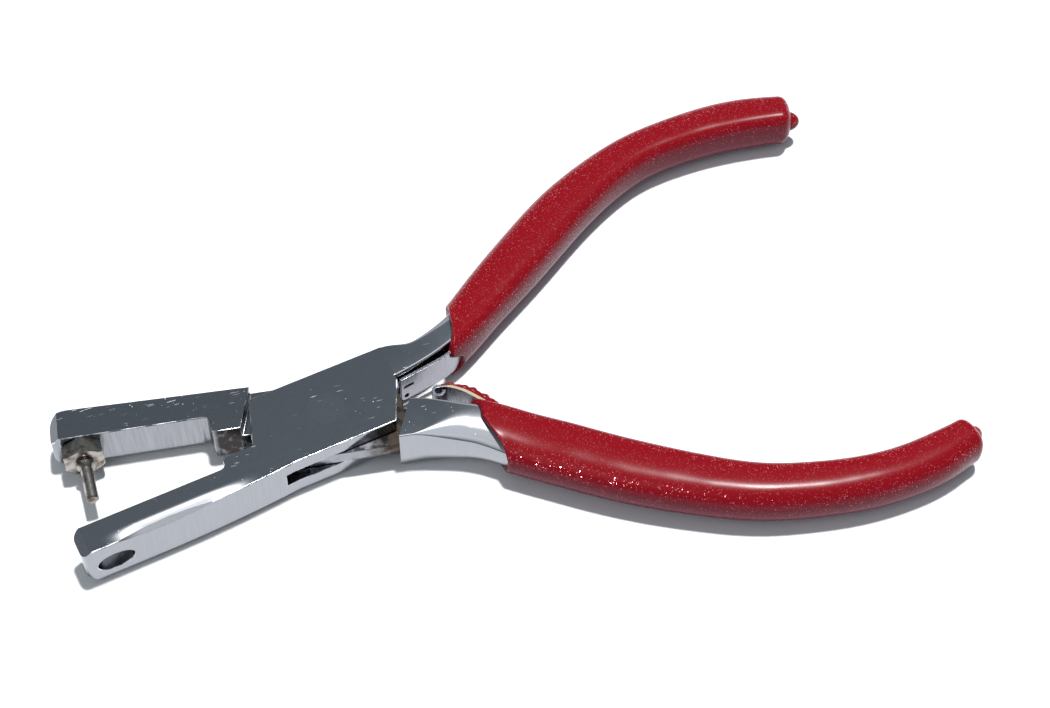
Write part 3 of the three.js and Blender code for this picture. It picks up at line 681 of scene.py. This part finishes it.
# The die jaw's outer edge rolls off a little before it ends, so its flat leans outwards there: the normal
# is eased towards straight up, gets the tilt outwards and is made one long again. The lean is measured in
# the lever's own closed frame, and is uneven where the belt crossed it.
def rolledEdge(tree, point, upright, grain):
    closed = addNode(tree, "ShaderNodeMapping", {"Rotation": (0, 0, -swing("die"))}, {0: point})
    spot = addNode(tree, "ShaderNodeSeparateXYZ", links={0: closed.outputs[0]})
    lean = addNode(tree, "ShaderNodeMapRange", roll["top"], {0: upright}).outputs[0]
    for axis, low, high in (("Y", roll["edge"] + roll["wide"], roll["edge"] + roll["full"]),
                            ("X", roll["from"], roll["to"]), ("X", roll["gone"], roll["end"])):
        ramp = addNode(tree, "ShaderNodeMapRange",
                       {"interpolation_type": "SMOOTHSTEP", 1: low * mm, 2: high * mm},
                       {0: spot.outputs[axis]})
        both = addNode(tree, "ShaderNodeMath", {"operation": "MULTIPLY"}, {0: lean, 1: ramp.outputs[0]})
        lean = both.outputs[0]
    least, most = (share * roll["tilt"] for share in roll["uneven"])
    uneven = addNode(tree, "ShaderNodeMapRange", {**noiseSpan, 3: least, 4: most}, {0: grain})
    amount = addNode(tree, "ShaderNodeMath", {"operation": "MULTIPLY"}, {0: lean, 1: uneven.outputs[0]})
    flat = addNode(tree, "ShaderNodeNewGeometry").outputs["Normal"]
    away = addNode(tree, "ShaderNodeVectorMath", {"operation": "SCALE", 0: (0.0, -1.0, 0.0)},
                   {"Scale": amount.outputs[0]})
    toTop = addNode(tree, "ShaderNodeVectorMath", {"operation": "SUBTRACT", 0: (0.0, 0.0, 1.0)}, {1: flat})
    ease = addNode(tree, "ShaderNodeMath", {"operation": "MULTIPLY", 1: roll["ease"]}, {0: lean})
    eased = addNode(tree, "ShaderNodeVectorMath", {"operation": "SCALE"},
                    {0: toTop.outputs[0], "Scale": ease.outputs[0]})
    flatter = addNode(tree, "ShaderNodeVectorMath", {"operation": "ADD"}, {0: flat, 1: eased.outputs[0]})
    leaning = addNode(tree, "ShaderNodeVectorMath", {"operation": "ADD"},
                      {0: flatter.outputs[0], 1: away.outputs[0]})
    rolled = addNode(tree, "ShaderNodeVectorMath", {"operation": "NORMALIZE"}, {0: leaning.outputs[0]})
    return lean, rolled.outputs[0]


# A metal that wear has left uneven: one noise sets its roughness and, over a span of its own, takes its
# colour from the first tone to the second.
def wornMetal(name, look):
    material, tree, shader = startMaterial(name, look["tones"][0], {"Metallic": 1.0})
    coords = addNode(tree, "ShaderNodeTexCoord")
    wear = addNode(tree, "ShaderNodeTexNoise", {"Scale": perCell(look["patch"]), "Detail": 4.0},
                   {"Vector": coords.outputs["Object"]})
    rough = addNode(tree, "ShaderNodeMapRange", look["roughness"], {0: wear.outputs["Fac"]})
    span = addNode(tree, "ShaderNodeMapRange", look["toneSpan"], {0: wear.outputs["Fac"]})
    first, second = (linearColour(tone) for tone in look["tones"])
    tone = addNode(tree, "ShaderNodeMix", {"data_type": "RGBA", 6: first, 7: second}, {0: span.outputs[0]})
    linkInputs(tree, shader, {"Base Color": tone.outputs[2], "Roughness": rough.outputs[0]})
    return material


strip = {
    "tones": ("#7b7c83", "#a6a7ae"),
    "undercoat": "#a89c84",
    "marks": (0.2, 0.2, 3.0),  # mm, coarser than real rolling marks so that they show
    "roughness": {**noiseSpan, 3: 0.16, 4: 0.4},
    "edge": {1: 0.5, 2: 0.8},  # height of the normal over which a face belongs to the upper edge
    "coatFade": 0.4,  # mm
}


# Cold rolled spring strip: bright, with fine marks across its length. Its upper edge keeps the pale
# undercoat of the dip behind a given reach.
def rolledSpringStrip(name, coatFrom):
    material, tree, shader = startMaterial(name, strip["tones"][0], {"Metallic": 1.0})
    coords = addNode(tree, "ShaderNodeTexCoord")
    point = coords.outputs["Object"]
    lay = addNode(tree, "ShaderNodeMapping", {"Scale": [perCell(s) for s in strip["marks"]]}, {0: point})
    grain = addNode(tree, "ShaderNodeTexNoise", {"Scale": 1.0, "Detail": 3.0}, {"Vector": lay.outputs[0]})
    rough = addNode(tree, "ShaderNodeMapRange", strip["roughness"], {0: grain.outputs["Fac"]})
    first, second = (linearColour(tone) for tone in strip["tones"])
    tone = addNode(tree, "ShaderNodeMix", {"data_type": "RGBA", 6: first, 7: second},
                   {0: grain.outputs["Fac"]})
    normal = addNode(tree, "ShaderNodeSeparateXYZ", links={0: coords.outputs["Normal"]})
    spot = addNode(tree, "ShaderNodeSeparateXYZ", links={0: point})
    onEdge = addNode(tree, "ShaderNodeMapRange", strip["edge"], {0: normal.outputs["Z"]})
    behind = addNode(tree, "ShaderNodeMapRange", {1: coatFrom * mm, 2: (coatFrom + strip["coatFade"]) * mm},
                     {0: spot.outputs["X"]})
    coat = addNode(tree, "ShaderNodeMath", {"operation": "MULTIPLY"},
                   {0: onEdge.outputs[0], 1: behind.outputs[0]})
    coated = addNode(tree, "ShaderNodeMix", {"data_type": "RGBA", 7: linearColour(strip["undercoat"])},
                     {0: coat.outputs[0], 6: tone.outputs[2]})
    metal = addNode(tree, "ShaderNodeMath", {"operation": "SUBTRACT", 0: 1.0}, {1: coat.outputs[0]})
    linkInputs(tree, shader, {"Base Color": coated.outputs[2], "Metallic": metal.outputs[0],
                              "Roughness": rough.outputs[0]})
    return material


vinyl = {
    "deep": "#750913",
    "sunk": "#981c29",  # a flake that lies deep
    "flash": "#fb9aa2",
    # painted shade and a painted reflection of the table, on the walls that face sideways and down
    "wallShadeAndReflection": "#5c2032",
    # cell in mm, share of the cells that are bare, reach in a cell
    "flakes": [(0.15, 0.7, 0.42), (0.2, 0.86, 0.38), (0.32, 0.94, 0.3)],
    "tilt": 1.0,
    "faintness": 2.2,
    "sunkAt": 0.35,
    "metal": {1: 0.15, 2: 0.8, 4: 0.85},  # by how bright a flake is
    "paintedShadeByNormal": {1: -0.3, 2: 0.7, 3: 0.9, 4: 0.0},  # by the height of the normal: painted shade and a painted reflection of the table on walls facing sideways and down
    "wave": 8.0,  # mm, of the uneven skin, and its depth
    "waveDepth": 0.25,
    "shader": {"Roughness": 0.2, "IOR": 1.5, "Specular IOR Level": 0.04, "Coat Weight": 0.45,
               "Coat IOR": 1.28, "Coat Roughness": 0.25},
}


# Vinyl the handles were dipped in: clear deep red with fine foil glitter. Each flake lies at its own tilt
# and depth, so few of them flash at once and most only warm the red.
def dippedGlitterVinyl():
    material, tree, shader = startMaterial("dipped glitter vinyl", vinyl["deep"], vinyl["shader"])
    coords = addNode(tree, "ShaderNodeTexCoord")
    point = coords.outputs["Object"]
    geometry = addNode(tree, "ShaderNodeNewGeometry")
    depth, tilt = None, None
    for size, rarity, reach in vinyl["flakes"]:
        mask, chance, colour = rareCells(tree, point, perCell(size), rarity, reach)
        faint = addNode(tree, "ShaderNodeMath", {"operation": "POWER", 1: vinyl["faintness"]}, {0: chance})
        seen = addNode(tree, "ShaderNodeMath", {"operation": "MULTIPLY"}, {0: mask, 1: faint.outputs[0]})
        turned = addNode(tree, "ShaderNodeVectorMath", {"operation": "SUBTRACT", 1: (0.5, 0.5, 0.5)},
                         {0: colour})
        kept = addNode(tree, "ShaderNodeVectorMath", {"operation": "SCALE"},
                       {0: turned.outputs[0], "Scale": mask})
        if depth is None:
            depth, tilt = seen.outputs[0], kept.outputs[0]
        else:
            most = addNode(tree, "ShaderNodeMath", {"operation": "MAXIMUM"}, {0: depth, 1: seen.outputs[0]})
            both = addNode(tree, "ShaderNodeVectorMath", {"operation": "ADD"}, {0: tilt, 1: kept.outputs[0]})
            depth, tilt = most.outputs[0], both.outputs[0]
    scaled = addNode(tree, "ShaderNodeVectorMath", {"operation": "SCALE", "Scale": vinyl["tilt"]}, {0: tilt})
    tilted = addNode(tree, "ShaderNodeVectorMath", {"operation": "ADD"},
                     {0: geometry.outputs["Normal"], 1: scaled.outputs[0]})
    normal = addNode(tree, "ShaderNodeVectorMath", {"operation": "NORMALIZE"}, {0: tilted.outputs[0]})
    tone = addNode(tree, "ShaderNodeValToRGB", links={0: depth})
    for end, colour in zip(tone.color_ramp.elements, ("deep", "flash")):
        end.color = linearColour(vinyl[colour])
    tone.color_ramp.elements.new(vinyl["sunkAt"]).color = linearColour(vinyl["sunk"])
    upright = addNode(tree, "ShaderNodeSeparateXYZ", links={0: coords.outputs["Normal"]})
    # Painted shade and reflection: walls that face sideways and down are mixed towards a darker lilac red,
    # the more the lower their normal points.
    thick = addNode(tree, "ShaderNodeMapRange", vinyl["paintedShadeByNormal"], {0: upright.outputs["Z"]})
    wallShadeAndReflection = addNode(tree, "ShaderNodeMix", {"data_type": "RGBA", 7: linearColour(vinyl["wallShadeAndReflection"])},
                     {0: thick.outputs[0], 6: tone.outputs[0]})
    metal = addNode(tree, "ShaderNodeMapRange", vinyl["metal"], {0: depth})
    wave = addNode(tree, "ShaderNodeTexNoise", {"Scale": perCell(vinyl["wave"]), "Detail": 1.0},
                   {"Vector": point})
    wavy = addNode(tree, "ShaderNodeBump", {"Strength": 1.0, "Distance": vinyl["waveDepth"] * mm},
                   {"Height": wave.outputs["Fac"]})
    linkInputs(tree, shader, {"Base Color": wallShadeAndReflection.outputs[2], "Metallic": metal.outputs[0],
                              "Normal": normal.outputs[0], "Coat Normal": wavy.outputs[0]})
    return material


oil = {
    "steel": "#8f9096",
    "tones": ((0.42, "#55504c"), (0.62, "#362d26")),  # by the noise of the film
    "patch": 1.6,  # mm
    "roughness": {1: 0.4, 2: 0.65, 3: 0.2, 4: 0.5},
    "from": 3.0,  # reach at which it starts, and covers all
    "to": 6.5,
}


# The same steel inside the joint, under a brown film of old oil and rust that starts behind the pivot.
def oilFilmedSteel():
    material, tree, shader = startMaterial("oil filmed steel", oil["steel"], {"Metallic": 1.0})
    coords = addNode(tree, "ShaderNodeTexCoord")
    point = coords.outputs["Object"]
    darkening = addNode(tree, "ShaderNodeTexNoise", {"Scale": perCell(oil["patch"]), "Detail": 5.0},
                   {"Vector": point})
    tone = addNode(tree, "ShaderNodeValToRGB", links={0: darkening.outputs["Fac"]})
    for end, (position, colour) in zip(tone.color_ramp.elements, oil["tones"]):
        end.position, end.color = position, linearColour(colour)
    rough = addNode(tree, "ShaderNodeMapRange", oil["roughness"], {0: darkening.outputs["Fac"]})
    spot = addNode(tree, "ShaderNodeSeparateXYZ", links={0: point})
    behind = addNode(tree, "ShaderNodeMapRange", {1: oil["from"] * mm, 2: oil["to"] * mm},
                     {0: spot.outputs["X"]})
    mixed = addNode(tree, "ShaderNodeMix", {"data_type": "RGBA", 6: linearColour(oil["steel"])},
                    {0: behind.outputs[0], 7: tone.outputs[0]})
    linkInputs(tree, shader, {"Base Color": mixed.outputs[2], "Roughness": rough.outputs[0]})
    return material


# Roughness of sides and flats, what shoulders and grain add to it, how many marks there are, and the reach
# behind which the walls get the dark film and painted shade.
toolSteel = groundToolSteel("ground tool steel", {
    "sides": 0.12, "flats": 0.15, "crown": 0.0, "brushed": 0.05, "marks": 0.35, "filmAndShadeFrom": 40.0,
    "rolled": True})
brushedSteel = groundToolSteel("brushed tool steel", {
    "sides": 0.14, "flats": 0.15, "crown": 0.62, "brushed": 0.12, "marks": 0.75, "filmAndShadeFrom": -16.6,
    "rolled": False})
crownedSteel = groundToolSteel("crowned tool steel", {
    "sides": 0.13, "flats": 0.155, "crown": 0.62, "brushed": 0.03, "marks": 0.3, "filmAndShadeFrom": 60.0,
    "rolled": False})
# The same steel where its edges were broken by a stone and rubbed bright since.
brightEdge = wornMetal("burnished steel edge", {
    "patch": 2.4, "roughness": {1: 0.4, 2: 0.6, 3: 0.22, 4: 0.34}, "tones": ("#74767c", "#eceef2"),
    "toneSpan": {1: 0.42, 2: 0.6}})
filmedSteel = oilFilmedSteel()
springStrip = rolledSpringStrip("rolled spring strip", 60.0)
dippedStrip = rolledSpringStrip("rolled spring strip with undercoat", 17.5)
# Nickel plate, polished, a little brown where it has worn.
nickelPlate = wornMetal("polished nickel plate", {
    "patch": 1.2, "roughness": {1: 0.35, 2: 0.7, 3: 0.22, 4: 0.42}, "tones": ("#a39e98", "#625649"),
    "toneSpan": {1: 0.45, 2: 0.65}})
glitterVinyl = dippedGlitterVinyl()
print("materials ready")

edges = {
    "lever": 0.11,
    "strip": 0.05,
    "rivet": 0.08,
    "segments": 3,
    "folded": 58,  # degrees, from which an edge is eased
    "rivetHole": 3.2,  # die lever: no edge this near the pivot, or on the nose past this x and over this z
    "noseX": -37.0,
    "noseZ": 5.0,
    "onCut": 0.005,  # nor on the cut, to this much
    "merge": 0.001,
    "coplanar": 0.5,  # degrees
    "sharp": 32,  # degrees
}


# A merged copy of a CAD node, cut off past a plane across its lever where asked, with eased edges.
def cadCopy(node, name, material, lever, ease, cutReach=None, edgeMaterial=None):
    mesh = bmesh.new()
    mesh.from_mesh(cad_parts[node].data)
    bmesh.ops.remove_doubles(mesh, verts=mesh.verts, dist=edges["merge"] * mm)
    if cutReach is not None:
        way = Vector((math.cos(swing(lever)), math.sin(swing(lever)), 0))
        cut = bmesh.ops.bisect_plane(mesh, geom=mesh.verts[:] + mesh.edges[:] + mesh.faces[:],
                                     plane_co=way * cutReach * mm, plane_no=way, clear_outer=True)
        rim = [e for e in cut["geom_cut"] if isinstance(e, bmesh.types.BMEdge)]
        bmesh.ops.holes_fill(mesh, edges=rim, sides=0)
    coplanar = math.radians(edges["coplanar"])
    bmesh.ops.dissolve_limit(mesh, angle_limit=coplanar, verts=mesh.verts, edges=mesh.edges)

    weights = mesh.edges.layers.float.new("bevel_weight_edge")
    nearPivot, noseX, noseZ, near = (edges[key] * mm for key in ("rivetHole", "noseX", "noseZ", "onCut"))
    for edge in mesh.edges:
        ends = [vert.co for vert in edge.verts]
        folded = edge.is_manifold and edge.calc_face_angle(0.0) > math.radians(edges["folded"])
        onCut = cutReach is not None and all(abs(co.dot(way) - cutReach * mm) < near for co in ends)
        byRivet = lever == "die" and all(co.xy.length < nearPivot for co in ends)
        atNose = lever == "die" and all(co.x < noseX and co.z > noseZ for co in ends)
        edge[weights] = 1.0 if folded and not (onCut or byRivet or atNose) else 0.0
    data = bpy.data.meshes.new(name)
    mesh.to_mesh(data)
    mesh.free()
    for layer in [a.name for a in data.attributes if a.name in ("custom_normal", "sharp_edge", "sharp_face")]:
        data.attributes.remove(data.attributes[layer])
    data.materials.append(material)
    smoothed(data, edges["sharp"])
    piece = linkPiece(name, data)
    bevel = piece.modifiers.new("eased edges", "BEVEL")
    bevel.width, bevel.segments, bevel.limit_method = ease * mm, edges["segments"], "WEIGHT"
    bevel.use_clamp_overlap = False
    if edgeMaterial is not None:
        data.materials.append(edgeMaterial)
        bevel.material = 1
    piece.modifiers.new("flat faces", "WEIGHTED_NORMAL").keep_sharp = True
    return piece


# Ride with the lever's body, and stand for these CAD nodes.
def place(piece, lever, *nodes):
    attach(piece, bodyOf[lever])
    if nodes:
        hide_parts(*nodes)


for node, material, lever, ease, cutReach, edgeMaterial in (
    ("die_lever", toolSteel, "die", edges["lever"], neck["dieStart"], brightEdge),
    ("upper_leaf_spring", springStrip, "die", edges["strip"], None, None),
    ("upper_spring_rivet", springStrip, "die", edges["rivet"], None, None),
    ("punch_lever", brushedSteel, "punch", edges["lever"], tongue["start"], brightEdge),
    ("punch_pin", nickelPlate, "punch", edges["rivet"], None, None),
    ("lower_spring_rivet", springStrip, "punch", edges["rivet"], None, None),
):
    place(cadCopy(node, node + "_finished", material, lever, ease, cutReach, edgeMaterial), lever, node)
for lever in handles:
    place(makePiece(lever + "_lever_neck", [tubeShell(neckRings(lever))], crownedSteel, lever), lever)
place(makePiece("punch_lever_tongue", tongueShells(), filmedSteel, "punch"), "punch")
place(makePiece("pivot_rivet_finished", [tubeShell(rivetRings())], crownedSteel, "die", rivet["sharp"]),
      "die", "pivot_rivet")
holder = [tubeShell(hexRings()), tubeShell(shankRings())]
place(makePiece("punch_holder_finished", holder, nickelPlate, "punch"), "punch", "punch_holder")
print("steel pieces ready")

vinylSharp = 60.0  # degrees
for lever, node in (("die", "upper_handle_dip"), ("punch", "lower_handle_dip")):
    shells = [tubeShell(dipRings(lever)), tubeShell(nubRings(lever))]
    piece = makePiece(node + "_skin", shells, glitterVinyl, lever, vinylSharp)
    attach(piece, bodyOf[lever])
    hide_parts(node)
print("dips ready")

# The lower spring and its vinyl bend from where its rolled end meets the other spring to the dip.
bendFrom, bendTo = (Vector((reach, 0, tool["restLift"])) * mm for reach in (5.9, 24.0))
spring = cadCopy("lower_leaf_spring", "lower_leaf_spring_finished", dippedStrip, "punch", edges["strip"])
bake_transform(spring, bodyOf["die"], bodyOf["punch"], bendFrom, bendTo)
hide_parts("lower_leaf_spring")
coat = makePiece("lower_leaf_spring_coat", [tubeShell(springCoatRings())], glitterVinyl, "punch", vinylSharp)
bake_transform(coat, bodyOf["die"], bodyOf["punch"], bendFrom, bendTo)
print("springs ready")

studio = {
    "floorLevel": -0.8,
    "floorSide": 6000.0,
    "paper": "#e9e9eb",
    "distance": 2500.0,  # of every light
    "keyWay": (0.17, 0.09, 0.97),
    "keySize": 220.0,
    "keyWatts": 92.0,
    "glowBehind": 1.01,
    "glowSize": 1800.0,
    "glowWatts": 2.0,
    "fillWay": (-0.5, -0.35, 0.75),
    "fillSize": 1500.0,
    "fillWatts": 8.0,
    "world": "#7f8990",
}

far, level = studio["floorSide"] / 2 * mm, studio["floorLevel"] * mm
floorData = bpy.data.meshes.new("floor")
floorData.from_pydata([(-far, -far, level), (far, -far, level), (far, far, level), (-far, far, level)],
                      [], [(0, 1, 2, 3)])
paper = startMaterial("matt white paper", studio["paper"], {"Roughness": 0.9, "Specular IOR Level": 0.1})[0]
floorData.materials.append(paper)
floor = linkPiece("floor", floorData)


# Stand an object at a place in mm, looking at an aim.
def lookAt(seer, spot, aim):
    seer.location = Vector(spot) * mm
    seer.rotation_euler = (Vector(aim) * mm - seer.location).to_track_quat("-Z", "Y").to_euler()


# A round soft light that shines on the pivot from a way and a share of the lights' distance.
def areaLight(name, way, share, size, watts):
    data = bpy.data.lights.new(name, "AREA")
    data.shape, data.size, data.energy = "DISK", size * mm, watts
    lookAt(linkPiece(name, data), Vector(way).normalized() * studio["distance"] * share, (0, 0, 0))


areaLight("key light", studio["keyWay"], 1.0, studio["keySize"], studio["keyWatts"])
areaLight("ceiling glow", studio["keyWay"], studio["glowBehind"], studio["glowSize"], studio["glowWatts"])
areaLight("fill light", studio["fillWay"], 1.0, studio["fillSize"], studio["fillWatts"])

world = bpy.data.worlds.new("dim room")
world.use_nodes = True
world.node_tree.nodes["Background"].inputs["Color"].default_value = linearColour(studio["world"])
bpy.context.scene.world = world
bpy.context.scene.view_settings.view_transform = "Standard"

view = {
    "from": (-32.8, -182.6, 263.1),
    "at": (31.9, 5.2, -0.4),
    "lens": 75.43,
    "sensor": 36.0,
    "clipStart": 10.0,
}
cameraData = bpy.data.cameras.new("camera")
cameraData.lens, cameraData.sensor_width = view["lens"], view["sensor"]
cameraData.clip_start = view["clipStart"] * mm
camera = linkPiece("camera", cameraData)
lookAt(camera, view["from"], view["at"])
bpy.context.scene.camera = camera
print("stage ready")
